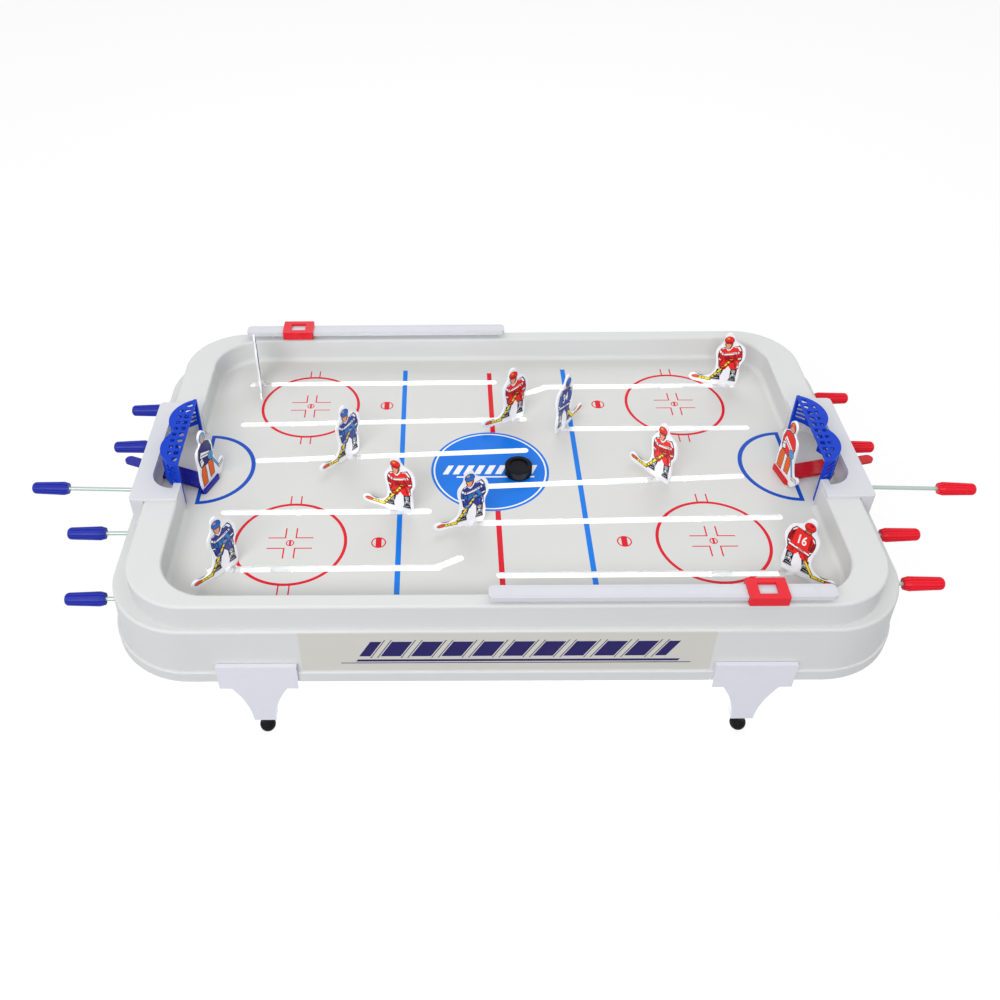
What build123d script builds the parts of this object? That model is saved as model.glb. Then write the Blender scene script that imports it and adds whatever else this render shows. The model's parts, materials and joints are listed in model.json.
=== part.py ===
"""Table hockey game: a moulded rink on four legs, ten geared players on rods, two goals and two score bars.

The origin is on the table top, under the middle of the ice. X runs along the rink, Y away from the front, Z up.
"""

import os
from math import atan2, cos, degrees, hypot, radians, sin, sqrt

from build123d import *

# Rink tray
ice_height = 137.0
ice_length = 595.0
ice_width = 371.0
ice_corner = 45.0
ice_fillet = 5.0
tray_wall = 2.2
board_height = 26.4
board_round = 2.5
rim_length = 657.6
rim_width = 400.0
rim_corner = 59.6
ledge_drop = 0.7
ledge_length = 693.2
ledge_width = 408.0
ledge_corner = 70.6
ledge_round = 2.5
skirt_height = 51.4
skirt_flare = 3.2
skirt_side_flare = 0.8
lip_length = 707.6
lip_width = 413.4
lip_corner = 78.7
lip_height = 12.0
lip_round = 1.5

# Slots and what slides in them
slot_width = 7.5
slide_gap = 0.3
fit_gap = 0.05
boss_length = 12.0
stop_gap = 0.5

# Cross braces
brace_place = 205.0
brace_width = 20.0
brace_depth = 36.0
brace_thick = 7.0
brace_length = 348.0
brace_post = 14.0

# Rods, handles and bevel gears
rod_drop = 27.0
rod_radius = 2.0
rod_end_radius = 1.5
handle_length = 37.0
handle_radius = 6.8
handle_end_radius = 5.8
handle_neck_radius = 5.5
handle_neck = 4.8
handle_dome = 4.0
handle_grip = 28.0
handle_ribs = 14
rib_width = 1.4
rib_height = 1.1
gear_radius = 4.2
gear_teeth = 10
gear_face_share = 0.55
tooth_tip_share = 1.14
tooth_root_share = 0.84
tooth_width = 1.05
tooth_draft = 0.4
pinion_hub = 5.5
pinion_hub_radius = 3.0
collar_radius = 2.9
collar_length = 1.4

# Carriages and spindles
carriage_length = 18.0
carriage_inside = 5.3
carriage_wall = 1.2
carriage_top = 3.0
carriage_depth = 33.0
spindle_radius = 2.0
head_radius = 3.1
head_height = 4.0

# Players
figure_height = 66.5
figure_thick = 2.0
figure_lift = 0.8
stick_reach = 38.0
tab_depth = 3.0

# Goals
recess_width = 114.0
recess_depth = 29.1
recess_corner = 22.0
housing_width = 146.0
housing_depth = 45.0
housing_wall = 2.2
housing_cap = 2.4
housing_corner = 4.0
ear_length = 7.0
net_width = 100.0
net_height = 50.0
net_foot = 20.0
net_wall = 1.5
net_back = 21.2
net_waist = 13.2
net_rows = 5
net_post = 3.0
net_slot = 3.0
net_columns = 4
net_column_start = 0.62
net_slot_share = 0.80
net_top_columns = 5
net_hole_pitch = 9.0
net_hole = 5.4
net_hole_round = 1.3
net_hole_shares = (1.0, 0.76, 0.55)
net_line_start = 5.0
net_line_pitch = 6.6

# Goalkeepers
pivot_place = 335.0
pivot_radius = 2.5
hub_radius = 4.6
lever_thick = 3.0
lever_lift = 1.3
lever_door = 16.0
tongue_door = 13.0
tongue_length = 37.0
tongue_width = 10.0
arm_width = 18.0
arm_start = 12.0
arm_length = 60.0
keeper_foot_length = 28.0
keeper_foot_width = 7.0
keeper_foot_height = 5.0
keeper_height = 65.7
keeper_width = 26.0
left_keeper_turn = 22.0
right_keeper_turn = 13.0
keeper_swing = 26.0

# Score bars
bar_length = 285.0
bar_width = 14.0
bar_thick = 4.5
bar_lift = 5.6
bar_middle = 126.5
bar_inset = 193.0
stud_radius = 1.5
stud_near = 5.0
stud_far = 28.0
slider_length = 33.0
slider_wall = 4.2
slider_window = 15.6
slider_window_width = 12.0
slider_skin = 2.7
slider_lip = 1.2
slider_mouth = 5.0
front_slider_place = 212.0
back_slider_place = 212.0

# Legs and feet
leg_place = 215.0
leg_width = 70.0
leg_plate = 2.8
leg_hook = 11.1
leg_shelf = 6.4
leg_shelf_depth = 22.0
neck_top = 49.0
neck_bottom = 20.0
neck_depth = 16.0
neck_tip_depth = 11.0
neck_height = 46.5
neck_waist_share = 0.30
neck_bend_share = 0.45
foot_radius = 7.2
foot_stem = 4.6
foot_flat = 0.5
peg_radius = 2.6
peg_length = 8.0

# Puck
puck_radius = 13.3
puck_height = 10.0
puck_dish = 9.3
puck_dish_depth = 1.5
puck_round = 0.8
puck_place = 21.0
puck_off = 6.5

overrun = 1.0

# Heights that follow
board_top = ice_height + board_height
ledge_top = ice_height - ledge_drop
lip_top = ledge_top - skirt_height
lip_bottom = lip_top - lip_height
ice_under = ice_height - tray_wall
rod_height = ice_height - rod_drop
half_ice = ice_length / 2
half_width = ice_width / 2
mouth = half_ice + slide_gap
wall_at_rod = ledge_length / 2 + skirt_flare * rod_drop / skirt_height

# Lanes of the red team, whose handles are at -X. Near and far ends, and any bend past the near end, as shares of
# half the ice. The blue team's lanes are the same, turned half round.
lane_shares = {
    "front_wing": ((0.0, -0.763), (0.867, -0.756), ()),
    "back_wing": ((0.202, 0.712), (0.867, 0.718), ((0.129, 0.652),)),
    "back_defender": ((-0.864, 0.380), (0.0975, 0.413), ()),
    "front_defender": ((-0.862, -0.326), (-0.235, -0.326), ()),
    "centre": ((-0.0908, -0.145), (0.7866, -0.0733), ()),
}
# Where a rod doesn't run along its lane: its place at the end wall, as a share of half the ice's width
rod_wall_shares = {"centre": 0.0025}
# Each player: lane, place along the lane from near to far, handle's gap to the body in handle lengths,
# and the way the stick points, in degrees
red_shares = {
    "front_wing": ("front_wing", 0.985, 0.240, -41.0),
    "back_wing": ("back_wing", 0.970, 0.275, 168.0),
    "back_defender": ("back_defender", 0.972, 0.407, 210.0),
    "front_defender": ("front_defender", 0.879, 0.790, 160.0),
    "centre": ("centre", 0.705, 2.235, 130.0),
}
blue_shares = {
    "back_wing": ("front_wing", 0.975, 0.270, -80.0),
    "front_wing": ("back_wing", 0.935, 0.370, 228.0),
    "front_defender": ("back_defender", 0.990, 0.369, 202.0),
    "back_defender": ("front_defender", 1.0, 0.318, 52.0),
    "centre": ("centre", 0.663, 2.475, 226.0),
}
# Outline of a player, from the heel round the head to the stick: shares of the stick's reach and of the height
figure_shares = (
    (-0.280, 0.000), (-0.334, 0.146), (-0.329, 0.289), (-0.324, 0.417), (-0.400, 0.538), (-0.397, 0.674),
    (-0.330, 0.770), (-0.210, 0.818), (-0.120, 0.852), (-0.045, 0.905), (-0.015, 0.955), (0.084, 1.000),
    (0.190, 0.970), (0.226, 0.890), (0.253, 0.800), (0.366, 0.695), (0.379, 0.559), (0.337, 0.439), (0.332, 0.311),
    (0.405, 0.192), (0.540, 0.138), (0.750, 0.140), (0.860, 0.174), (0.990, 0.150), (1.000, 0.090), (0.930, 0.054),
    (0.660, 0.030), (0.320, 0.000),
)
# Outline of a goalkeeper: shares of the width and of the height
keeper_shares = (
    (-0.42, 0.00), (-0.50, 0.12), (-0.48, 0.45), (-0.50, 0.60), (-0.40, 0.74), (-0.17, 0.80), (-0.20, 0.90),
    (-0.11, 0.98), (0.02, 1.00), (0.15, 0.97), (0.22, 0.89), (0.19, 0.80), (0.38, 0.74), (0.50, 0.60),
    (0.50, 0.40), (0.62, 0.26), (0.74, 0.20), (0.90, 0.235), (1.00, 0.23), (1.03, 0.17), (0.94, 0.11), (0.84, 0.05),
    (0.72, 0.00),
)
# Posts of a cross brace between the lanes, as shares of half the ice's width
brace_post_shares = (0.90, 0.54, 0.235, -0.205, -0.52, -0.90)


def rounded(length, width, corner, bottom, top):
    """An upright block with rounded corners."""
    return Pos(0, 0, bottom) * extrude(RectangleRounded(length, width, corner), top - bottom)


def block(x0, x1, y0, y1, z0, z1):
    """A box between two corners."""
    return Pos((x0 + x1) / 2, (y0 + y1) / 2, (z0 + z1) / 2) * Box(x1 - x0, y1 - y0, z1 - z0)


def post(x, y, radius, z0, z1):
    """An upright cylinder."""
    return Pos(x, y, (z0 + z1) / 2) * Cylinder(radius, z1 - z0)


def rod_between(radius, x0, x1):
    """A cylinder along X."""
    return Pos((x0 + x1) / 2, 0, 0) * Rot(0, 90, 0) * Cylinder(radius, x1 - x0)


def obround(x0, y0, x1, y1, width, bottom, top):
    """A slot's prism between two points."""
    run = hypot(x1 - x0, y1 - y0)
    shape = extrude(SlotCenterToCenter(run, width), top - bottom)
    return Pos((x0 + x1) / 2, (y0 + y1) / 2, bottom) * Rot(0, 0, degrees(atan2(y1 - y0, x1 - x0))) * shape


def lane_points(lane, side):
    """Near end, far end and bends of a lane; side is -1 for handles at -X and 1 for the other team."""
    near, far, bends = lane_shares[lane]
    place = [(-side * x * half_ice, -side * y * half_width) for x, y in (near, far) + tuple(bends)]
    return place[0], place[1], place[2:]


def player(team, role):
    """Places and directions of one player, worked out from its lane."""
    side = -1 if team == "red" else 1
    lane, along, gap, stick = (red_shares if team == "red" else blue_shares)[role]
    near, far, bends = lane_points(lane, side)
    run = hypot(far[0] - near[0], far[1] - near[1])
    x = near[0] + along * (far[0] - near[0])
    y = near[1] + along * (far[1] - near[1])
    slide = degrees(atan2(far[1] - near[1], far[0] - near[0]))
    turn = slide
    if lane in rod_wall_shares:
        wall_y = -side * rod_wall_shares[lane] * half_width
        turn = degrees(atan2(y - wall_y, x - side * wall_at_rod))
    reach = abs((wall_at_rod + gap * handle_length - side * x) / cos(radians(turn)))
    return {
        "x": x,
        "y": y,
        "side": side,
        "slide": slide,
        "turn": turn,
        "stick": stick,
        "reach": reach,
        "gap": gap * handle_length,
        "outward": along * run,
        "inward": min((1 - along) * run, gap * handle_length - stop_gap),
    }


def players():
    """All ten, as team, role and values."""
    teams = (("red", red_shares), ("blue", blue_shares))
    return [(team, role, player(team, role)) for team, table in teams for role in table]


def recess(clearance, bottom, top):
    """The goal's hollow in the boards at +X, grown by a clearance."""
    shape = rounded(2 * (recess_depth + clearance), recess_width + 2 * clearance, recess_corner + clearance, bottom, top)
    return Pos(half_ice, 0, 0) * shape


def both_ends(shape):
    """A shape made at +X, and the same turned half round."""
    return shape + Rot(0, 0, 180) * shape


def skirt(grow, bottom, top):
    """The flaring wall between the ledge and the lip, grown by an amount."""
    upper = RectangleRounded(ledge_length + 2 * grow, ledge_width + 2 * grow, ledge_corner + grow)
    low_length = ledge_length + 2 * (skirt_flare + grow)
    low_width = ledge_width + 2 * (skirt_side_flare + grow)
    lower = RectangleRounded(low_length, low_width, ledge_corner + skirt_flare + grow)
    return loft([Pos(0, 0, bottom) * lower, Pos(0, 0, top) * upper])


def tray():
    """The rink: ice, boards, ledge, skirt and lip in one open shell."""
    body = rounded(rim_length, rim_width, rim_corner, ledge_top - tray_wall, board_top)
    flank = skirt(0, lip_top, ledge_top)
    flank = fillet(flank.faces().sort_by(Axis.Z)[-1].edges(), ledge_round)
    lip = rounded(lip_length, lip_width, lip_corner, lip_bottom, lip_top)
    lip = fillet(lip.faces().sort_by(Axis.Z)[-1].edges(), lip_round)
    body = body + flank + lip

    basin = rounded(ice_length, ice_width, ice_corner, ice_height, board_top + overrun)
    basin = fillet(basin.faces().sort_by(Axis.Z)[0].edges(), ice_fillet)
    body = body - basin
    rim_edges = body.edges().filter_by_position(Axis.Z, board_top, board_top)
    body = fillet(rim_edges, board_round)

    low = skirt(-tray_wall, lip_top - tray_wall, ledge_top - tray_wall)
    foot = rounded(
        lip_length - 2 * tray_wall, lip_width - 2 * tray_wall, lip_corner - tray_wall,
        lip_bottom - overrun, lip_top - tray_wall,
    )
    ring = rounded(
        rim_length - 2 * tray_wall, rim_width - 2 * tray_wall, rim_corner - tray_wall,
        ledge_top - 2 * tray_wall, board_top - tray_wall,
    )
    bowl = rounded(
        ice_length + 2 * tray_wall, ice_width + 2 * tray_wall, ice_corner + tray_wall,
        ice_under, board_top + overrun,
    )
    bowl = bowl + both_ends(recess(tray_wall, ice_under, board_top + overrun))
    body = body - (low + foot + (ring - bowl))
    body = body - both_ends(recess(0, ice_height, board_top + overrun))

    door = block(
        half_ice, rim_length / 2 + overrun, -lever_door, lever_door,
        ice_height + slide_gap, ice_height + lever_lift + lever_thick + 2 * slide_gap,
    )
    body = body - both_ends(door)
    for side in (-1, 1):
        for lane in lane_shares:
            near, far, bends = lane_points(lane, side)
            points = [far, near] + list(bends)
            for (x0, y0), (x1, y1) in zip(points, points[1:]):
                body = body - obround(x0, y0, x1, y1, slot_width, ice_under - overrun, ice_height + overrun)
            over = (boss_length - slot_width) / 2 + slide_gap
            run = hypot(far[0] - near[0], far[1] - near[1])
            step = (over * (far[0] - near[0]) / run, over * (far[1] - near[1]) / run)
            body = body - obround(
                near[0] - step[0], near[1] - step[1], far[0] + step[0], far[1] + step[1],
                slot_width, ice_under - overrun, ice_height + overrun,
            )
    for team, role, who in players():
        body = body - rod_hole(who)
    return body


def rod_hole(who):
    """The hole in the end wall that a rod slides through, long enough for a rod that crosses its lane."""
    hole = rod_radius + slide_gap
    start = -who["reach"]
    end = start + who["gap"] + 4 * tray_wall
    shape = rod_between(hole, start, end)
    swing = sin(radians(who["turn"] - who["slide"]))
    if who["turn"] != who["slide"]:
        shifts = [travel * swing for travel in (who["outward"], -who["inward"])]
        flat = block(start, end, min(shifts), max(shifts), -hole, hole)
        shape = flat + Pos(0, shifts[0], 0) * shape + Pos(0, shifts[1], 0) * shape
    return Pos(who["x"], who["y"], rod_height) * Rot(0, 0, who["turn"]) * shape


def cross_brace(side):
    """A beam under the ice, below the rods, with posts up to the ice between the lanes."""
    low = ice_height - brace_depth - brace_thick
    high = ice_height - brace_depth
    half = brace_width / 2
    shape = block(-half, half, -brace_length / 2, brace_length / 2, low, high)
    for share in brace_post_shares:
        y = -side * share * half_width
        shape = shape + block(-half, half, y - brace_post / 2, y + brace_post / 2, low, ice_under)
    return Pos(side * brace_place, 0, 0) * shape


def bevel_gear(offset, bore):
    """A bevel gear on +Z with its apex at the origin; offset turns it by a share of one tooth."""
    small = gear_radius * gear_face_share
    cone = Pos(0, 0, (small + gear_radius) / 2) * Cone(
        small * tooth_root_share, gear_radius * tooth_root_share, gear_radius - small
    )
    root = gear_radius * tooth_root_share
    tip = gear_radius * tooth_tip_share
    inner = root - tooth_width / 2
    wide = tooth_width / 2 + tooth_draft / 2
    thin = tooth_width / 2 - tooth_draft / 2
    outline = [(inner, -wide), (root, -wide), (tip, -thin), (tip, thin), (root, wide), (inner, wide)]
    large_end = Pos(0, 0, gear_radius) * make_face(Polyline(*outline, close=True))
    shrunk = [(x * gear_face_share, y * gear_face_share) for x, y in outline]
    small_end = Pos(0, 0, small) * make_face(Polyline(*shrunk, close=True))
    tooth = loft([small_end, large_end], ruled=True)
    for i in range(gear_teeth):
        cone = cone + Rot(0, 0, (i + offset) * 360 / gear_teeth) * tooth
    if bore > 0:
        cone = cone - Pos(0, 0, gear_radius / 2) * Cylinder(bore, gear_radius + overrun)
    return cone


def carriage(who):
    """The guide under the ice: a boss in the slot and a box that holds the two gears."""
    top = ice_under - slide_gap
    boss_top = ice_height - slide_gap - fit_gap
    outer = carriage_inside + carriage_wall
    back = -gear_radius - pinion_hub - slide_gap - carriage_wall
    front = back + carriage_length
    low = ice_height - carriage_depth
    shell = block(back, front, -outer, outer, low, top)
    shell = shell - block(
        back + carriage_wall, front + overrun, -carriage_inside, carriage_inside, low - overrun, top - carriage_top
    )
    shell = shell - Pos(0, 0, rod_height) * rod_between(rod_radius + fit_gap, back - overrun, back + 2 * carriage_wall)
    half = (boss_length - slot_width) / 2
    boss = obround(-half, 0, half, 0, slot_width - 2 * slide_gap, top - overrun, boss_top)
    shape = Rot(0, 0, who["turn"]) * shell + Rot(0, 0, who["slide"]) * boss
    shape = shape - post(0, 0, spindle_radius + fit_gap, top - 2 * carriage_top, boss_top + overrun)
    return Pos(who["x"], who["y"], 0) * shape


def rod(who):
    """The steel rod with its collar, and the bevel pinion pressed on its turned-down end."""
    back = -gear_radius - pinion_hub
    end = -gear_radius * gear_face_share
    collar = back - 2 * slide_gap - carriage_wall
    bar = rod_between(rod_radius, -who["reach"] - handle_grip, back) + rod_between(rod_end_radius, back - overrun, end)
    bar = bar + rod_between(collar_radius, collar - collar_length, collar)
    pinion = bevel_gear(0.5, 0) + post(0, 0, pinion_hub_radius, gear_radius, gear_radius + pinion_hub)
    pinion = Rot(0, -90, 0) * pinion - rod_between(rod_end_radius, back - overrun, 0)
    place = Pos(who["x"], who["y"], rod_height) * Rot(0, 0, who["turn"])
    return Compound(children=[place * bar, place * pinion])


def handle_form(inset):
    """A handle's turned form, drawn in by an inset: a coned neck at the inner end below, a slow taper to the outer."""
    half = handle_length / 2
    profile = Polyline(
        (0, -half), (handle_neck_radius - inset, -half), (handle_radius - inset, handle_neck - half),
        (handle_end_radius - inset, half), (0, half), close=True,
    )
    return revolve(Plane.XZ * make_face(profile), Axis.Z)


def handle(who):
    """The ribbed handle on the rod's outer end."""
    core = handle_form(rib_height)
    rib = Pos(handle_radius / 2, 0, 0) * Box(handle_radius, rib_width, handle_length)
    for i in range(handle_ribs):
        core = core + Rot(0, 0, i * 360 / handle_ribs) * rib
    envelope = handle_form(0)
    envelope = fillet(envelope.faces().sort_by(Axis.Z)[-1].edges(), handle_dome)
    shape = core & envelope
    bore = Pos(0, 0, (handle_grip - handle_length) / 2 - overrun / 2) * Cylinder(rod_radius, handle_grip + overrun)
    shape = shape - bore
    shape = Pos(-who["reach"] - handle_length / 2, 0, 0) * Rot(0, -90, 0) * shape
    return Pos(who["x"], who["y"], rod_height) * Rot(0, 0, who["turn"]) * shape


def spindle(turn):
    """The upright shaft under a player: gear, shaft, collar and slit head."""
    top = ice_under - slide_gap
    shaft_low = rod_height + gear_radius
    head_low = ice_height - fit_gap
    shape = Pos(0, 0, rod_height) * Rot(0, 0, turn + 180) * bevel_gear(0, 0)
    shape = shape + post(0, 0, spindle_radius, shaft_low - overrun, head_low + overrun)
    collar_top = top - carriage_top - slide_gap
    shape = shape + post(0, 0, collar_radius, collar_top - collar_length, collar_top)
    return shape + post(0, 0, head_radius, head_low, ice_height + head_height)


def plate(shares, across, height, thick):
    """A flat printed plate standing in the XZ plane, from an outline in shares."""
    points = [(x * across, z * height) for x, z in shares]
    outline = make_face([Spline(*points), Line(points[-1], points[0])])
    return Rot(90, 0, 0) * extrude(outline, thick / 2, both=True)


def figure(who):
    """A player: the plate in its slit head, with the spindle under it."""
    body = plate(figure_shares, stick_reach, figure_height, figure_thick)
    body = Rot(0, 0, who["stick"]) * Pos(0, 0, ice_height + figure_lift) * body
    slit = block(
        -head_radius - overrun, head_radius + overrun, -figure_thick / 2, figure_thick / 2,
        ice_height + figure_lift, ice_height + head_height + overrun,
    )
    shaft = spindle(who["turn"]) - Rot(0, 0, who["stick"]) * slit
    place = Pos(who["x"], who["y"], 0)
    return Compound(children=[place * body] + [place * s for s in shaft.solids()])


def goal_housing():
    """The frame over the boards at +X, with the lever's pivot pin inside."""
    top = board_top + housing_cap
    outer_x = half_ice + housing_depth
    half = housing_width / 2
    shape = block(half_ice - housing_depth, outer_x, -half, half, ledge_top, top)
    shape = fillet(shape.edges().filter_by(Axis.Z), housing_corner)
    shape = fillet(shape.faces().sort_by(Axis.Z)[-1].edges(), housing_wall / 3)
    inner = block(
        half_ice - overrun, outer_x - housing_wall, housing_wall - half, half - housing_wall,
        ledge_top - overrun, board_top,
    )
    shape = shape - inner - block(0, mouth, -half - overrun, half + overrun, ledge_top - overrun, top + overrun)
    rim = rounded(
        rim_length + 2 * slide_gap, rim_width, rim_corner + slide_gap, ledge_top - overrun, board_top
    )
    shape = shape - rim - recess(slide_gap, ledge_top, top + overrun)
    inside = net_width / 2 + slide_gap
    outside = recess_width / 2 - slide_gap
    for sign in (-1, 1):
        y0, y1 = sorted((sign * inside, sign * outside))
        shape = shape + block(mouth, mouth + ear_length, y0, y1, ice_height + slide_gap, top)
        y0, y1 = sorted((sign * inside, sign * (recess_width / 2 + housing_wall)))
        shape = shape + block(mouth, mouth + ear_length, y0, y1, board_top, top)
    shape = shape + post(pivot_place, 0, pivot_radius, ledge_top, top - overrun)
    door = block(
        outer_x - housing_wall - overrun, outer_x + overrun, -tongue_door, tongue_door,
        ledge_top - overrun, ice_height + lever_lift + lever_thick + 2 * slide_gap,
    )
    return shape - door


def net_outline(inset):
    """Half of the net's plan at +X: from the post round one lobe to the waist."""
    half = net_width / 2 - inset
    return (
        (mouth, half),
        (mouth + net_back - inset, half / 2),
        (mouth + net_waist - inset, 0),
    )


def net_plan(inset):
    """The net's plan at +X, with its two lobes, drawn in by an inset."""
    start, middle, waist = net_outline(inset)
    lobe = ThreePointArc(start, middle, waist)
    other = ThreePointArc(waist, (middle[0], -middle[1]), (start[0], -start[1]))
    close = Line((start[0], -start[1]), start)
    return make_face([lobe, other, close])


def goal_net():
    """The blue cap of the goal: pierced top, pierced back wall, crossbar and posts."""
    top = ice_height + net_height
    low = ice_height + net_foot
    shape = Pos(0, 0, low) * extrude(net_plan(0), top - low)
    hollow = Pos(0, 0, low - overrun) * extrude(net_plan(net_wall), top - net_wall - low + overrun)
    shape = shape - hollow
    cutters = []
    lobe = ThreePointArc(*net_outline(net_wall / 2))
    pitch = (top - low - 2 * net_post) / net_rows
    step = 1 / (net_columns + 0.5)
    for column in range(net_columns):
        share = (column + net_column_start) * step
        spot = lobe @ share
        way = lobe % share
        slot = Rot(0, 0, degrees(atan2(way.Y, way.X))) * Box(lobe.length * step * net_slot_share, 4 * net_wall, net_slot)
        for row in range(net_rows):
            hole = Pos(spot.X, spot.Y, low + net_post + (row + 0.5) * pitch) * slot
            cutters += [hole, mirror(hole, Plane.XZ)]
    for column in range(net_top_columns):
        y = (column + 0.5) * net_hole_pitch
        depth = lobe.arc_center.X + sqrt(lobe.radius ** 2 - (y - lobe.arc_center.Y) ** 2) - mouth
        for line, share in enumerate(net_hole_shares):
            x = net_line_start + line * net_line_pitch
            if x + net_hole * share / 2 + net_post / 2 < depth:
                outline = RectangleRounded(net_hole * share, net_hole * share, net_hole_round * share)
                hole = Pos(mouth + x, y, top - 2 * net_wall) * extrude(outline, 3 * net_wall)
                cutters += [hole, mirror(hole, Plane.XZ)]
    shape = shape - cutters
    for sign in (-1, 1):
        y0, y1 = sorted((sign * net_width / 2, sign * (net_width / 2 - net_post)))
        shape = shape + block(mouth, mouth + net_post, y0, y1, ice_height + slide_gap, top)
    return shape


def goalie_lever():
    """The goalkeeper's lever on its pivot: tongue outside, arm inside, cross foot at the end. Inner end at +X."""
    low = ice_height + lever_lift
    high = low + lever_thick
    shape = obround(-tongue_length + tongue_width / 2, 0, 0, 0, tongue_width, low, high)
    shape = shape - block(-hub_radius, hub_radius, -tongue_width, tongue_width, low - overrun, high + overrun)
    shape = shape + post(0, 0, hub_radius, low, high)
    neck = hub_radius - overrun
    shape = shape + block(-tongue_width, arm_start, -neck, neck, low, high)
    shape = shape + block(arm_start, arm_length, -arm_width / 2, arm_width / 2, low, high)
    half = (keeper_foot_length - keeper_foot_width) / 2
    foot = obround(
        arm_length, -half, arm_length, half, keeper_foot_width, ice_height + slide_gap,
        ice_height + slide_gap + keeper_foot_height,
    )
    foot = fillet(foot.faces().sort_by(Axis.Z)[-1].edges(), overrun)
    shape = shape + foot
    groove = block(
        arm_length - figure_thick / 2, arm_length + figure_thick / 2, -keeper_foot_length, keeper_foot_length,
        ice_height + slide_gap + keeper_foot_height - tab_depth, ice_height + 2 * keeper_foot_height,
    )
    return shape - groove - post(0, 0, pivot_radius + fit_gap, low - overrun, high + overrun)


def goalie():
    """The goalkeeper's plate, standing across the lever's end, facing +X."""
    body = plate(keeper_shares, keeper_width, keeper_height, figure_thick)
    low = ice_height + slide_gap + keeper_foot_height - tab_depth
    return Pos(arm_length, 0, low) * Rot(0, 0, 90) * body


def keeper_place(side):
    """Where a goalkeeper's lever stands: inner end towards the ice, swung to the front."""
    turn = -left_keeper_turn if side < 0 else 180 + right_keeper_turn
    return Pos(side * pivot_place, 0, 0) * Rot(0, 0, turn)


def score_bar():
    """The front score bar on its four studs."""
    low = board_top + bar_lift
    shape = Pos(bar_middle, -bar_inset, low) * extrude(RectangleRounded(bar_length, bar_width, bar_thick), bar_thick)
    start = bar_middle - bar_length / 2
    end = bar_middle + bar_length / 2
    for x in (start + stud_near, start + stud_far, end - stud_far, end - stud_near):
        shape = shape + post(x, -bar_inset, stud_radius, board_top, low + overrun)
    return shape


def score_slider(place):
    """The window frame that slides along a score bar."""
    low = board_top + bar_lift - slide_gap
    high = low + bar_thick + 2 * slide_gap
    half_x = slider_length / 2
    half_y = bar_width / 2 + slide_gap + slider_wall
    shape = block(-half_x, half_x, -half_y, half_y, low - slider_lip, high + slider_skin)
    shape = fillet(shape.edges().filter_by(Axis.Z), slider_lip)
    inside = bar_width / 2 + slide_gap
    shape = shape - block(-slider_length, slider_length, -inside, inside, low, high)
    shape = shape - block(-slider_length, slider_length, -slider_mouth, slider_mouth, low - 2 * slider_lip, low + overrun)
    half = slider_window / 2
    half_side = slider_window_width / 2
    shape = shape - block(-half, half, -half_side, half_side, high - overrun, high + 2 * slider_skin)
    return Pos(place, -bar_inset, 0) * shape


def leg():
    """The front right leg: a clip over the lip with a waisted neck."""
    front = lip_width / 2 + leg_plate
    hook_top = lip_top + leg_hook
    shelf = lip_bottom - leg_shelf
    back = front - leg_shelf_depth
    half = leg_width / 2
    shape = block(-half, half, -front, -lip_width / 2, shelf, hook_top)
    shape = shape + block(-half, half, -front, -lip_width / 2, lip_top, hook_top)
    inner = ledge_width / 2 + skirt_side_flare + slide_gap
    shape = shape + block(-half, half, -front, -inner, lip_top, hook_top)
    shape = shape + block(-half, half, -front, -back, shelf, lip_bottom)
    low = shelf - neck_height
    curve_y = shelf - neck_height * neck_bend_share
    waist = neck_bottom / 2 + (neck_top - neck_bottom) / 2 * neck_waist_share
    right = ThreePointArc((neck_top / 2, shelf), (waist, curve_y), (neck_bottom / 2, low))
    left = ThreePointArc((-neck_bottom / 2, low), (-waist, curve_y), (-neck_top / 2, shelf))
    base = Line((neck_bottom / 2, low), (-neck_bottom / 2, low))
    cap = Line((-neck_top / 2, shelf), (neck_top / 2, shelf))
    silhouette = Rot(90, 0, 0) * extrude(make_face([right, base, left, cap]), front)
    depth = Polyline(
        (-front, shelf), (-front + neck_depth, shelf), (-front + neck_tip_depth, low), (-front, low), close=True
    )
    side_view = extrude(Plane.YZ * make_face(depth), half, both=True)
    shape = shape + (silhouette & side_view)
    middle = -front + neck_tip_depth / 2
    return Pos(leg_place, 0, 0) * (shape - post(0, middle, peg_radius, low - overrun, low + peg_length))


def rubber_foot():
    """The ball foot under the front right leg, with its stem and peg."""
    low = lip_bottom - leg_shelf - neck_height
    middle = -(lip_width / 2 + leg_plate) + neck_tip_depth / 2
    ball = Pos(0, 0, foot_radius - foot_flat) * Sphere(foot_radius)
    ball = ball - block(-foot_radius, foot_radius, -foot_radius, foot_radius, -foot_radius, 0)
    shape = ball + post(0, 0, foot_stem, foot_radius, low) + post(0, 0, peg_radius, low - overrun, low + peg_length)
    return Pos(leg_place, middle, 0) * shape


def puck():
    """The puck, with a dished top, on the ice."""
    shape = Cylinder(puck_radius, puck_height)
    shape = fillet(shape.edges().filter_by(GeomType.CIRCLE), puck_round)
    dish = Pos(0, 0, puck_height / 2) * Cylinder(puck_dish, 2 * puck_dish_depth)
    return Pos(puck_place, -puck_off, ice_height + slide_gap + puck_height / 2) * (shape - dish)


def save(shape, name):
    """Writes one piece."""
    export_step(shape, f"parts/{name}.step")


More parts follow.
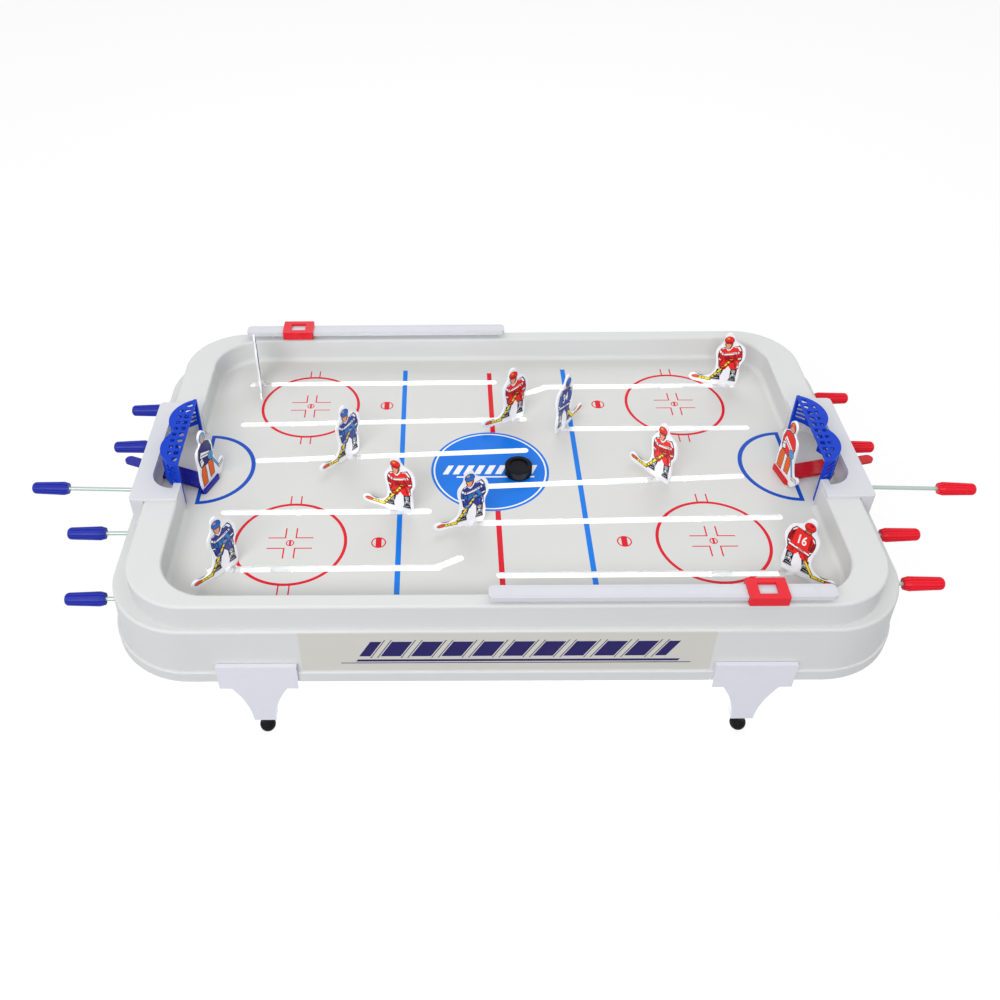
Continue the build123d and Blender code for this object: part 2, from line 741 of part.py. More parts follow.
def main():
    os.makedirs("parts", exist_ok=True)
    half_turn = Rot(0, 0, 180)
    save(tray(), "rink_tray")
    save(Compound(children=[cross_brace(-1), cross_brace(1)]), "cross_braces")
    for team, role, who in players():
        save(carriage(who), f"carriage_{team}_{role}")
        save(rod(who), f"rod_{team}_{role}")
        save(handle(who), f"handle_{team}_{role}")
        save(figure(who), f"figure_{team}_{role}")
    housing = goal_housing()
    save(housing, "goal_housing_right")
    save(half_turn * housing, "goal_housing_left")
    net = goal_net()
    save(net, "goal_net_right")
    save(half_turn * net, "goal_net_left")
    lever = goalie_lever()
    keeper = goalie()
    for side, name in ((-1, "left"), (1, "right")):
        save(keeper_place(side) * lever, f"goalie_lever_{name}")
        save(keeper_place(side) * keeper, f"goalie_{name}")
    bar = score_bar()
    save(bar, "score_bar_front")
    save(half_turn * bar, "score_bar_back")
    save(score_slider(front_slider_place), "score_slider_front")
    save(half_turn * score_slider(back_slider_place), "score_slider_back")
    front_right = leg()
    front_left = mirror(front_right, Plane.YZ)
    save(front_right, "leg_front_right")
    save(front_left, "leg_front_left")
    save(half_turn * front_right, "leg_back_left")
    save(half_turn * front_left, "leg_back_right")
    foot = rubber_foot()
    other = mirror(foot, Plane.YZ)
    save(Compound(children=[foot, other, half_turn * foot, half_turn * other]), "rubber_feet")
    save(puck(), "puck")


if __name__ == "__main__":
    main()
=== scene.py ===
import bpy
import json
from math import cos, hypot, pi, radians, sin
from mathutils import Matrix, Vector


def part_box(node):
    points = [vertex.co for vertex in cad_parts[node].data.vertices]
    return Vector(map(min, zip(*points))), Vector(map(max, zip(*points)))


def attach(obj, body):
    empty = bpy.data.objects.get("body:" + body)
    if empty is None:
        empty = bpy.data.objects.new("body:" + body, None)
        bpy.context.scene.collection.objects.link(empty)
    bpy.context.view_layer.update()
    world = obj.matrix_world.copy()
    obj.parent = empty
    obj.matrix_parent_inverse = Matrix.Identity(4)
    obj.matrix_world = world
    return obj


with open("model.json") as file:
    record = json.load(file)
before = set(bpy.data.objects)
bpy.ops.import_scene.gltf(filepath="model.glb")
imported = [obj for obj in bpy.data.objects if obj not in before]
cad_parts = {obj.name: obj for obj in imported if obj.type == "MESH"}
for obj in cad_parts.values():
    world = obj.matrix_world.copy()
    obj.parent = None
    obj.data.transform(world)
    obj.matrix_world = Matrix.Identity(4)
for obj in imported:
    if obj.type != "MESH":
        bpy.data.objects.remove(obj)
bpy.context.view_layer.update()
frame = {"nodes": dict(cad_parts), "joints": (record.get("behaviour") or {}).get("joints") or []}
nodes = frame["nodes"]
mm = 0.001
puckGap = 0.3 * mm  # the puck lies this far above the ice
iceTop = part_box("puck")[0].z - puckGap
print("packed game loaded, ice at", round(iceTop, 4))

# Small helpers for node trees


def clearNodes(name):
    material = bpy.data.materials.new(name)
    material.use_nodes = True
    return material, material.node_tree, material.node_tree.nodes["Principled BSDF"]


def maths(tree, kind, a, b=0.0, c=0.0):
    node = tree.nodes.new("ShaderNodeMath")
    node.operation = kind
    for socket, value in zip(node.inputs, (a, b, c)):
        if isinstance(value, (int, float)):
            socket.default_value = value
        else:
            tree.links.new(value, socket)
    return node.outputs[0]


def near(tree, value, middle, half):  # 1 within half of middle
    return maths(tree, "COMPARE", value, middle, half)


def either(tree, first, *rest):
    for mask in rest:
        first = maths(tree, "MAXIMUM", first, mask)
    return first


def both(tree, first, *rest):
    for mask in rest:
        first = maths(tree, "MULTIPLY", first, mask)
    return first


def less(tree, a, b):
    return maths(tree, "LESS_THAN", a, b)


def paintOver(tree, under, mask, colour):
    mix = tree.nodes.new("ShaderNodeMix")
    mix.data_type = "RGBA"
    tree.links.new(mask, mix.inputs[0])
    if isinstance(under, tuple):
        mix.inputs[6].default_value = under
    else:
        tree.links.new(under, mix.inputs[6])
    mix.inputs[7].default_value = colour
    return mix.outputs[2]


def placeInMm(tree):
    where = tree.nodes.new("ShaderNodeTexCoord")
    split = tree.nodes.new("ShaderNodeSeparateXYZ")
    tree.links.new(where.outputs["Object"], split.inputs[0])
    return [maths(tree, "MULTIPLY", split.outputs[i], 1 / mm) for i in range(3)]


def noise(tree, scale, detail=2.0):
    where = tree.nodes.new("ShaderNodeTexCoord")
    node = tree.nodes.new("ShaderNodeTexNoise")
    node.inputs["Scale"].default_value = scale
    node.inputs["Detail"].default_value = detail
    tree.links.new(where.outputs["Object"], node.inputs["Vector"])
    return node.outputs["Fac"]


surface = {
    "noiseSpan": (0.3, 0.7), "grainDepth": 0.0002, "grainDetail": 4.0, "mottleScale": 38.0, "mottleDetail": 3.0,
    "roughScale": 60.0, "plasticGrain": 900.0, "plasticBump": 0.12, "plasticMottle": 0.04, "inkGrain": 1400.0,
    "inkRough": (0.28, 0.38), "inkMottle": 0.05, "inkSheen": 0.15,
}


def shade(tree, fac, low, high):  # a number that wanders between low and high
    node = tree.nodes.new("ShaderNodeMapRange")
    tree.links.new(fac, node.inputs[0])
    for socket, value in zip(node.inputs[1:5], surface["noiseSpan"] + (low, high)):
        socket.default_value = value
    return node.outputs[0]


def grain(tree, shader, scale, strength):
    bump = tree.nodes.new("ShaderNodeBump")
    bump.inputs["Strength"].default_value = strength
    bump.inputs["Distance"].default_value = surface["grainDepth"]
    tree.links.new(noise(tree, scale, surface["grainDetail"]), bump.inputs["Height"])
    tree.links.new(bump.outputs[0], shader.inputs["Normal"])


def linear(r, g, b):  # colours are written as seen, 0 to 255
    def one(v):
        v = v / 255
        return v / 12.92 if v <= 0.04045 else ((v + 0.055) / 1.055) ** 2.4
    return (one(r), one(g), one(b), 1.0)


def mouldedPlastic(name, colour, rough, sheen, mottle, grainScale):
    material, tree, shader = clearNodes(name)
    tone = linear(*colour)
    darker = tuple(c * (1 - mottle) for c in tone[:3]) + (1.0,)
    mix = tree.nodes.new("ShaderNodeMix")
    mix.data_type = "RGBA"
    mix.inputs[6].default_value = darker
    mix.inputs[7].default_value = tone
    tree.links.new(noise(tree, surface["mottleScale"], surface["mottleDetail"]), mix.inputs[0])
    tree.links.new(mix.outputs[2], shader.inputs["Base Color"])
    tree.links.new(shade(tree, noise(tree, surface["roughScale"]), *rough), shader.inputs["Roughness"])
    shader.inputs["Specular IOR Level"].default_value = sheen
    grain(tree, shader, grainScale, surface["plasticBump"])
    return material


# The rink: white moulding with markings printed on the ice and a plate on the front. Places are in mm from the
# middle of the ice. A line is a middle and a half width, and four numbers are two such pairs, across and along.

rink = {
    "white": (212, 213, 213), "ice": (210, 211, 209), "red": (212, 10, 38), "blue": (2, 118, 220),
    "crease": (1, 76, 184), "disc": (0, 114, 220), "plate": (205, 203, 196), "navy": (30, 22, 92),
    "discTrim": (236, 240, 246),
    "iceHalf": (328.0, 186.0), "iceLayer": 0.4,
    "circle": (193.0, 101.0), "circleLine": (50.7, 1.5),
    "cornerBars": ((12.6, 8.2, 6.6, 0.6), (4.9, 0.65, 12.6, 6.5), (4.9, 0.65, 56.5, 6.0)),
    "dotLine": (3.3, 0.5), "dotBar": 1.0,
    "spot": (112.0, 101.0), "spotLine": (6.2, 0.6), "spotBar": 2.7,
    "redLine": (-1.3, 2.5, 0.0, 158.0), "blueLines": ((-93.7, 2.5, 0.0, 164.0), (80.0, 2.5, 0.0, 164.0)),
    "creaseMiddle": (290.0, 2.0), "creaseLine": (49.0, 2.1), "goalLine": (288.0, 2.0, 2.0, 51.0),
    "discMiddle": (-6.5, -2.5), "discRadius": 58.0, "discLine": (3.2, 0.8),
    "discBars": {"slant": 0.45, "beat": 5.2, "fill": 3.1, "half": 44.0, "rows": (0.5, 6.5)},
    "discRule": (5.0, 38.0, -10.0, 1.0),
    "plateFace": -203.0, "plateSpan": (0.0, 176.0, -26.5, 24.5),
    "plateBand": {"middle": 10.0, "foot": 24.0, "slant": 0.55, "beat": 13.0, "fill": 8.6},
    "bandBars": (0.0, 131.0, -23.0, 9.5), "bandEdges": (0.0, 133.0, -23.0, 11.6), "edgeLine": (10.2, 0.45),
    "rules": ((8.0, 138.0, -38.0, 1.4), (8.0, 150.0, -41.3, 0.5)),
    "hazeScale": 9.0, "hazeDetail": 3.0, "haze": (0.985, 1.0), "roughScale": 45.0, "rough": (0.36, 0.46),
    "printSmooth": 0.04, "sheen": 0.14, "depthGlow": 0.08, "glowRadius": 0.003,
    "grainScale": 700.0, "grain": 0.06,
}


def rinkPlastic():
    material, tree, shader = clearNodes("rinkPlastic")
    x, y, z = placeInMm(tree)
    iceHeight = iceTop / mm

    def away(value, middle):
        return maths(tree, "SUBTRACT", value, middle)

    def patch(a, b, row):  # 1 inside a rectangle
        return both(tree, near(tree, a, row[0], row[1]), near(tree, b, row[2], row[3]))

    def distance(a, b, middle):
        squares = [maths(tree, "MULTIPLY", gap, gap) for gap in (away(a, middle[0]), away(b, middle[1]))]
        return maths(tree, "SQRT", maths(tree, "ADD", *squares))

    iceX, iceY = rink["iceHalf"]
    ice = both(
        tree, near(tree, z, iceHeight, rink["iceLayer"]), near(tree, x, 0.0, iceX), near(tree, y, 0.0, iceY),
    )
    awayX = maths(tree, "ABSOLUTE", x)
    awayY = maths(tree, "ABSOLUTE", y)

    # face-off circles with their corner bars and dots, and the four neutral spots
    cx, cy = rink["circle"]
    dx = maths(tree, "ABSOLUTE", away(awayX, cx))
    dy = maths(tree, "ABSOLUTE", away(awayY, cy))
    toCircle = distance(awayX, awayY, rink["circle"])
    ring = near(tree, toCircle, *rink["circleLine"])
    corners = either(tree, *[patch(dx, dy, row) for row in rink["cornerBars"]])
    dotRing = near(tree, toCircle, *rink["dotLine"])
    dotBar = both(tree, less(tree, toCircle, rink["dotLine"][0]), near(tree, dx, 0.0, rink["dotBar"]))
    toSpot = distance(awayX, awayY, rink["spot"])
    spotRing = near(tree, toSpot, *rink["spotLine"])
    spotBar = both(
        tree, less(tree, toSpot, rink["spotLine"][0]), near(tree, awayX, rink["spot"][0], rink["spotBar"]),
    )

    # lines across the ice, goal creases and the centre disc
    redLine = patch(x, y, rink["redLine"])
    red = either(tree, ring, corners, dotRing, dotBar, spotRing, spotBar, redLine)
    lines = either(tree, *[patch(x, y, row) for row in rink["blueLines"]])
    toCrease = distance(awayX, y, rink["creaseMiddle"])
    crease = either(
        tree,
        both(tree, near(tree, toCrease, *rink["creaseLine"]), less(tree, awayX, rink["creaseMiddle"][0])),
        patch(awayX, y, rink["goalLine"]),
    )
    px, py = rink["discMiddle"]
    toDisc = distance(x, y, rink["discMiddle"])
    disc = less(tree, toDisc, rink["discRadius"])
    inset, half = rink["discLine"]
    discRing = near(tree, toDisc, rink["discRadius"] - inset, half)
    bar = rink["discBars"]
    slant = away(away(x, px), maths(tree, "MULTIPLY", away(y, py), bar["slant"]))
    step = maths(tree, "PINGPONG", slant, bar["beat"])
    rowMiddle, rowHalf = bar["rows"]
    bars = both(
        tree, near(tree, y, py + rowMiddle, rowHalf), near(tree, slant, 0.0, bar["half"]),
        less(tree, step, bar["fill"]),
    )
    ruleX, ruleHalf, ruleY, ruleThin = rink["discRule"]
    discRule = patch(x, y, (px + ruleX, ruleHalf, py + ruleY, ruleThin))

    colour = linear(*rink["white"])
    colour = paintOver(tree, colour, ice, linear(*rink["ice"]))
    for mask, name in ((crease, "crease"), (red, "red"), (lines, "blue"), (disc, "disc")):
        colour = paintOver(tree, colour, both(tree, mask, ice), linear(*rink[name]))
    trim = both(tree, either(tree, discRing, bars, discRule), disc, ice)
    colour = paintOver(tree, colour, trim, linear(*rink["discTrim"]))

    # the front plate, with a band of slanted bars
    up = away(z, iceHeight)
    plate = both(tree, less(tree, y, rink["plateFace"]), patch(x, up, rink["plateSpan"]))
    colour = paintOver(tree, colour, plate, linear(*rink["plate"]))
    band = rink["plateBand"]
    rise = maths(tree, "ADD", up, band["foot"])
    lean = away(away(x, band["middle"]), maths(tree, "MULTIPLY", rise, band["slant"]))
    beat = maths(tree, "PINGPONG", lean, band["beat"])
    strokes = both(tree, patch(lean, up, rink["bandBars"]), less(tree, beat, band["fill"]))
    outline = both(tree, patch(lean, up, rink["bandEdges"]), near(tree, beat, *rink["edgeLine"]))
    rules = [patch(lean, up, row) for row in rink["rules"]]
    printing = both(tree, plate, either(tree, strokes, outline, *rules))
    colour = paintOver(tree, colour, printing, linear(*rink["navy"]))

    # a faint haze over all, and smoother where it is printed
    haze = tree.nodes.new("ShaderNodeMix")
    haze.data_type = "RGBA"
    haze.blend_type = "MULTIPLY"
    haze.inputs[0].default_value = 1.0
    tree.links.new(colour, haze.inputs[6])
    wander = tree.nodes.new("ShaderNodeCombineColor")
    for socket in wander.inputs[0:3]:
        cloud = noise(tree, rink["hazeScale"], rink["hazeDetail"])
        tree.links.new(shade(tree, cloud, *rink["haze"]), socket)
    tree.links.new(wander.outputs[0], haze.inputs[7])
    tree.links.new(haze.outputs[2], shader.inputs["Base Color"])
    printed = either(tree, both(tree, either(tree, crease, red, lines, disc), ice), plate)
    rough = shade(tree, noise(tree, rink["roughScale"]), *rink["rough"])
    rough = away(rough, maths(tree, "MULTIPLY", printed, rink["printSmooth"]))
    tree.links.new(rough, shader.inputs["Roughness"])
    shader.inputs["Specular IOR Level"].default_value = rink["sheen"]
    shader.inputs["Subsurface Weight"].default_value = rink["depthGlow"]
    shader.inputs["Subsurface Radius"].default_value = (rink["glowRadius"],) * 3
    grain(tree, shader, rink["grainScale"], rink["grain"])
    return material


# Plain finishes of the carried-over pieces: colour, roughness from and to, and how much it mirrors

finish = {
    "trim": ((208, 209, 216), (0.30, 0.40), 0.4),
    "housing": ((208, 210, 215), (0.30, 0.40), 0.4),
    # painted light: the legs get a lighter copy of the white plastic, standing in for the light they lose to
    # the dim floor bounce
    "leg": ((221, 222, 231), (0.30, 0.40), 0.4),
    "carriage": ((232, 232, 232), (0.40, 0.50), 0.4),
    "handleBlue": ((38, 50, 168), (0.36, 0.50), 0.25),
    "handleRed": ((232, 26, 48), (0.36, 0.50), 0.25),
    "leverBlue": ((20, 22, 150), (0.22, 0.32), 0.3),
    "leverRed": ((200, 8, 24), (0.22, 0.32), 0.3),
    "net": ((6, 60, 192), (0.26, 0.36), 0.10),
    "slider": ((222, 20, 40), (0.26, 0.36), 0.25),
    "plate": ((238, 238, 243), (0.30, 0.40), 0.4),
    "puck": ((12, 14, 22), (0.42, 0.55), 0.08),
    "rubber": ((10, 11, 15), (0.50, 0.65), 0.12),
}
steelLook = {"colour": (178, 191, 187), "stretch": 0.02, "lines": 2500.0, "rough": (0.42, 0.58)}


def steel():
    material, tree, shader = clearNodes("drawnSteel")
    shader.inputs["Base Color"].default_value = linear(*steelLook["colour"])
    shader.inputs["Metallic"].default_value = 1.0
    where = tree.nodes.new("ShaderNodeTexCoord")
    stretch = tree.nodes.new("ShaderNodeMapping")
    stretch.inputs["Scale"].default_value = (steelLook["stretch"], 1.0, 1.0)
    lines = tree.nodes.new("ShaderNodeTexNoise")
    lines.inputs["Scale"].default_value = steelLook["lines"]
    tree.links.new(where.outputs["Object"], stretch.inputs[0])
    tree.links.new(stretch.outputs[0], lines.inputs["Vector"])
    tree.links.new(shade(tree, lines.outputs["Fac"], *steelLook["rough"]), shader.inputs["Roughness"])
    return material


def dress():
    made = {
        name: mouldedPlastic(name + "Plastic", *row, surface["plasticMottle"], surface["plasticGrain"])
        for name, row in finish.items()
    }
    made["rink"] = rinkPlastic()
    made["steel"] = steel()
    starts = (
        ("rink_tray", "rink"), ("cross_braces", "carriage"), ("carriage_", "carriage"), ("rod_", "steel"),
        ("handle_red", "handleBlue"), ("handle_blue", "handleRed"), ("figure_", "plate"),
        ("goal_housing", "housing"), ("goal_net", "net"), ("goalie_lever_left", "leverBlue"),
        ("goalie_lever_right", "leverRed"), ("goalie_", "plate"), ("score_bar", "trim"),
        ("score_slider", "slider"), ("leg_", "leg"), ("rubber_feet", "rubber"), ("puck", "puck"),
    )
    for name, node in nodes.items():
        finishName = next(kind for start, kind in starts if name.startswith(start))
        node.data.materials.clear()
        node.data.materials.append(made[finishName])
    return made


finishes = dress()
print("carried-over pieces dressed:", len(nodes))

# Printed pictures of the players, drawn as thin coloured shapes: across towards the stick, and up, in mm

ink = {
    "black": (24, 22, 26), "white": (240, 240, 242), "skin": (232, 160, 120), "skinShade": (196, 112, 80),
    "yellow": (244, 216, 42), "olive": (120, 106, 40), "orange": (240, 84, 38), "grey": (142, 144, 150),
    "red": (230, 40, 38), "redShade": (160, 14, 24), "blue": (30, 96, 196), "blueShade": (30, 30, 106),
    "sky": (86, 164, 222), "navy": (44, 52, 140), "azure": (36, 120, 190), "pad": (234, 104, 22),
    "gold": (222, 160, 44), "mid": (186, 190, 200),
}
inks = {
    name: mouldedPlastic(
        name + "Ink", colour, surface["inkRough"], surface["inkSheen"],
        surface["inkMottle"], surface["inkGrain"],
    )
    for name, colour in ink.items()
}
sheet = {"thick": 0.02, "layer": 0.0022, "above": 0.02, "numberAbove": 0.03}


def printShape(points):
    curve = bpy.data.curves.new("shape", "CURVE")
    curve.dimensions = "2D"
    curve.fill_mode = "BOTH"
    line = curve.splines.new("POLY")
    line.points.add(len(points) - 1)
    for spot, (u, v) in zip(line.points, points):
        spot.co = (u * mm, v * mm, 0.0, 1.0)
    line.use_cyclic_u = True
    curve.extrude = sheet["thick"] * mm
    return curve


def selectOnly(piece):
    for other in bpy.context.selected_objects:
        other.select_set(False)
    piece.select_set(True)
    bpy.context.view_layer.objects.active = piece


def oval(u, v, ru, rv, count=18):  # a ring of points
    return [(u + ru * cos(2 * pi * i / count), v + rv * sin(2 * pi * i / count)) for i in range(count)]


def bar(u0, v0, u1, v1, width):  # a straight stroke
    run = hypot(u1 - u0, v1 - v0)
    across, along = -(v1 - v0) / run * width / 2, (u1 - u0) / run * width / 2
    return [
        (u0 + across, v0 + along), (u0 - across, v0 - along),
        (u1 - across, v1 - along), (u1 + across, v1 + along),
    ]


# how much a shape shrinks inside its black edge, or grows into one: middle, across and up
edges = {
    "jersey": (3.0, 39.0, 0.93, 0.94), "keeper": (0.0, 39.0, 0.93, 0.94), "face": (6.9, 54.0, 1.14, 1.1),
    "padMiddle": 16.0, "pad": (0.84, 0.93),
}


def scaled(points, middleU, middleV, across, up):
    return [(middleU + (u - middleU) * across, middleV + (v - middleV) * up) for u, v in points]


def strokes(table, deep):  # short lines of shading, by colour
    return [(bar(*row), deep if colour == "deep" else colour) for colour, rows in table.items() for row in rows]


frontStrokes = {
    "deep": (
        (6.8, 37.5, 7.4, 31.5, 1.1), (1.5, 41.0, 3.2, 36.5, 1.0), (-2.8, 36.5, -1.6, 32.8, 1.1),
        (10.4, 38.0, 9.9, 33.6, 1.0),
        (-7.8, 47.0, -7.9, 42.5, 1.2), (14.3, 42.0, 14.2, 36.4, 1.1), (10.2, 25.6, 10.4, 21.8, 1.3),
        (-3.0, 30.4, -3.8, 26.2, 1.2),
        (4.6, 29.0, 5.6, 26.0, 1.0), (-6.2, 30.6, -6.0, 27.8, 0.8),
    ),
    "white": (
        (-8.3, 37.9, -5.2, 36.7, 1.3), (12.2, 33.4, 14.6, 34.8, 1.3), (-3.6, 52.0, 0.6, 50.8, 0.8),
        (10.2, 48.9, 12.8, 47.4, 0.8),
        (3.6, 30.4, 4.4, 27.2, 0.6),
    ),
    "black": (
        (-8.5, 39.0, -5.0, 37.7, 0.5), (-8.1, 36.8, -5.2, 35.6, 0.5), (12.0, 34.3, 14.9, 35.9, 0.5),
        (12.0, 32.3, 14.2, 33.6, 0.5),
        (-8.2, 44.6, -6.9, 41.8, 0.5), (-5.6, 47.2, -6.6, 39.4, 0.6), (12.2, 44.4, 12.7, 36.4, 0.6),
        (14.4, 40.6, 13.7, 38.0, 0.5),
        (4.4, 40.6, 5.4, 36.4, 0.5), (-0.4, 38.4, 0.8, 34.6, 0.5), (8.6, 40.0, 8.1, 34.4, 0.5),
        (8.4, 27.5, 9.2, 22.8, 0.5),
        (-3.6, 29.0, -4.6, 24.8, 0.5), (2.9, 31.0, 3.1, 26.8, 0.6), (6.2, 28.4, 7.0, 24.4, 0.5),
        (-1.4, 33.4, -2.6, 30.6, 0.5),
        (11.0, 31.0, 12.6, 27.0, 0.5), (5.8, 46.6, 6.0, 43.8, 0.5),
    ),
    "gold": ((2.4, 43.0, 4.8, 42.5, 0.7), (-5.4, 33.0, -4.6, 31.8, 0.7)),
}
backStrokes = {
    "deep": (
        (10.6, 47.6, 10.9, 33.6, 1.2), (-4.2, 49.4, -5.4, 36.0, 1.2), (8.0, 29.6, 2.0, 30.8, 0.9),
        (9.4, 24.8, 9.8, 20.8, 1.3),
        (-2.6, 27.4, -4.4, 25.0, 1.2), (13.4, 45.0, 13.6, 40.4, 1.0), (-7.6, 46.2, -8.0, 42.4, 1.0),
        (3.0, 50.8, 7.6, 50.0, 0.9),
    ),
    "white": (
        (12.0, 47.6, 14.2, 44.2, 1.0), (-3.2, 52.4, -6.4, 48.4, 1.0), (-8.4, 35.6, -6.0, 34.8, 1.2),
        (12.4, 31.2, 14.2, 32.2, 1.2),
    ),
    "black": (
        (-8.6, 36.7, -5.6, 35.7, 0.5), (12.0, 32.3, 14.6, 33.6, 0.5), (11.4, 46.4, 12.0, 34.0, 0.5),
        (-5.6, 48.6, -7.0, 37.0, 0.5),
        (8.8, 28.0, 8.2, 24.0, 0.5), (-1.8, 28.0, -2.4, 24.6, 0.5), (4.6, 27.2, 3.2, 24.6, 0.5),
        (-7.6, 34.0, -6.8, 30.4, 0.5),
        (13.2, 38.2, 12.6, 34.6, 0.5), (4.0, 51.9, 10.0, 50.6, 0.5), (7.2, 32.0, 6.2, 30.4, 0.4),
        (-0.6, 33.6, -1.2, 31.6, 0.4),
    ),
}


def playerStick(taped):  # the back of the shaft is drawn without its tape
    shapes = [
        (bar(1.0, 35.0, 16.6, 5.4, 3.0), "black"), (bar(15.6, 4.9, 30.0, 6.6, 3.6), "black"),
        (bar(1.0, 35.0, 16.2, 6.2, 1.9), "yellow"), (bar(16.4, 5.2, 29.0, 6.5, 2.5), "yellow"),
        (bar(21.6, 4.8, 22.2, 6.9, 0.8), "olive"), (bar(24.2, 5.1, 24.8, 7.2, 0.8), "olive"),
        (oval(30.6, 6.9, 3.8, 2.2), "black"), (oval(30.7, 6.9, 3.2, 1.7), "orange"),
    ]
    for share in (0.18, 0.34, 0.66, 0.82, 0.94) if taped else ():
        u, v = 1.0 + 15.2 * share, 35.0 - 28.8 * share
        shapes.append((bar(u, v, u + 0.6, v - 1.1, 2.2), "black"))
    return shapes


def legShapes(u, v, lean):
    return [
        ([
            (u - 3.3, v), (u + 3.3, v), (u + 3.0 + lean, 8.6), (u + 4.4 + lean, 5.4), (u - 3.4 + lean, 5.2),
            (u - 2.6 + lean, 9.0)
        ], "black"),
        (bar(u + lean * 0.3, v - 2.0, u + lean * 0.8, 11.0, 3.4), "grey"),
        (bar(u + 0.5 + lean * 0.4, v - 4.0, u + 0.4 + lean * 0.7, 13.0, 1.2), "white"),
        (bar(u - 2.4 + lean * 0.5, 15.5, u + 2.4 + lean * 0.5, 16.3, 1.0), "black"),
        (bar(u - 3.4 + lean, 5.6, u + 4.2 + lean, 5.8, 0.7), "grey"),
        (oval(u + 0.2, v - 3.6, 1.7, 2.0, 12), "mid"),
        (bar(u - 1.2, v - 3.0, u + 1.4, v - 2.6, 0.5), "black"),
        (bar(u - 1.1, v - 4.6, u + 1.3, v - 4.2, 0.5), "black"),
        (bar(u - 2.0 + lean * 0.6, 14.0, u - 2.2 + lean * 0.8, 10.4, 0.8), "mid"),
        (bar(u + 2.0 + lean * 0.6, 13.6, u + 2.0 + lean * 0.8, 10.0, 0.7), "white"),
        (bar(u - 2.4 + lean * 0.8, 11.8, u + 2.6 + lean * 0.8, 12.2, 0.6), "black"),
        (bar(u - 1.6 + lean, 8.2, u + 2.8 + lean, 7.4, 0.6), "mid"),
        (bar(u - 2.6 + lean, 4.9, u + 3.6 + lean, 5.0, 0.5), "mid"),
    ]


shorts = [(11.9, 31.0), (11.6, 18.6), (5.2, 20.6), (2.9, 26.4), (-0.6, 21.4), (-7.8, 23.6), (-7.0, 33.0)]
shortsInside = [(u * 0.93 + 0.2, v * 0.95 + 1.2) for u, v in shorts]


def playerFront(main, deep, helmet):
    shapes = legShapes(9.6, 20.5, 0.7) + legShapes(-3.6, 23.0, -1.0)
    jersey = [
        (15.6, 43.6), (13.6, 48.2), (9.6, 50.4), (6.0, 48.4), (1.6, 51.4), (-4.4, 53.8), (-7.4, 49.4),
        (-9.2, 41.0),
        (-9.0, 35.4), (-6.4, 31.4), (-0.6, 31.6), (6.0, 29.6), (9.6, 22.6), (12.6, 24.6), (13.9, 30.0),
        (15.6, 38.0),
    ]
    shapes += [
        (shorts, "black"), (shortsInside, main),
        (bar(-6.6, 24.6, -6.0, 31.0, 1.1), "white"), (bar(11.0, 20.4, 10.8, 28.0, 1.0), "white"),
        (jersey, "black"), (scaled(jersey, *edges["jersey"]), main),
        ([
            (12.6, 43.0), (9.4, 42.2), (3.0, 43.6), (-5.0, 46.0), (-5.4, 43.8), (2.6, 41.0), (9.6, 39.6),
            (12.8, 40.6)
        ], "white"),
        (bar(11.2, 41.4, -4.6, 44.6, 0.7), "black"),
        ([(14.4, 45.6), (11.6, 42.6), (12.4, 41.2), (15.0, 43.4)], "white"),
        ([(-4.0, 52.4), (-7.0, 48.0), (-5.8, 46.8), (-2.8, 50.6)], "white"),
        ([(9.8, 49.6), (6.0, 44.8), (2.2, 50.4), (4.0, 50.6), (6.0, 47.2), (8.4, 50.2)], "white"),
        ([(4.6, 39.6), (0.6, 34.6), (7.6, 33.0), (8.8, 37.4)], deep),
        ([(-1.2, 43.4), (-5.6, 35.4), (-3.6, 34.2), (0.8, 40.0)], deep),
        (bar(12.4, 40.0, 11.4, 28.4, 0.8), deep), (bar(-2.4, 47.0, -5.4, 38.4, 0.7), "black"),
        (bar(9.8, 43.0, 10.4, 31.0, 0.7), "black"),
    ]
    shapes += strokes(frontStrokes, deep) + playerStick(True)
    for u, v in ((1.4, 34.6), (8.2, 23.8)):
        shapes += [
            (oval(u, v, 3.0, 2.7), "black"), (oval(u, v, 2.5, 2.2), deep),
            (bar(u - 1.7, v + 0.9, u + 1.6, v + 0.3, 0.8), "gold"),
        ]
    face = [(10.4, 57.0), (10.2, 53.0), (8.4, 49.2), (6.6, 48.4), (4.8, 49.4), (3.4, 53.0), (3.4, 57.0)]
    shapes += [
        (scaled(face, *edges["face"]), "black"), (face, "skin"),
        ([(3.4, 57.0), (3.4, 53.0), (4.8, 49.4), (6.0, 48.8), (4.9, 53.0), (4.8, 57.0)], "skinShade"),
        (oval(7.0, 59.2, 5.0, 4.8, 22), "black"), (oval(7.0, 59.4, 4.5, 4.3, 22), helmet),
        ([(3.0, 57.4), (11.0, 57.4), (10.6, 56.0), (3.5, 56.0)], deep), (oval(8.4, 61.2, 1.6, 1.0), "gold"),
        (bar(4.9, 54.6, 6.2, 54.6, 0.55), "black"), (bar(7.9, 54.6, 9.2, 54.6, 0.55), "black"),
        (bar(7.0, 54.2, 7.2, 52.5, 0.45), "skinShade"), (bar(6.0, 50.9, 8.1, 50.9, 0.45), "skinShade"),
        (bar(3.4, 55.6, 5.0, 49.6, 0.5), "black"), (bar(10.4, 55.6, 8.8, 49.6, 0.5), "black"),
    ]
    return shapes


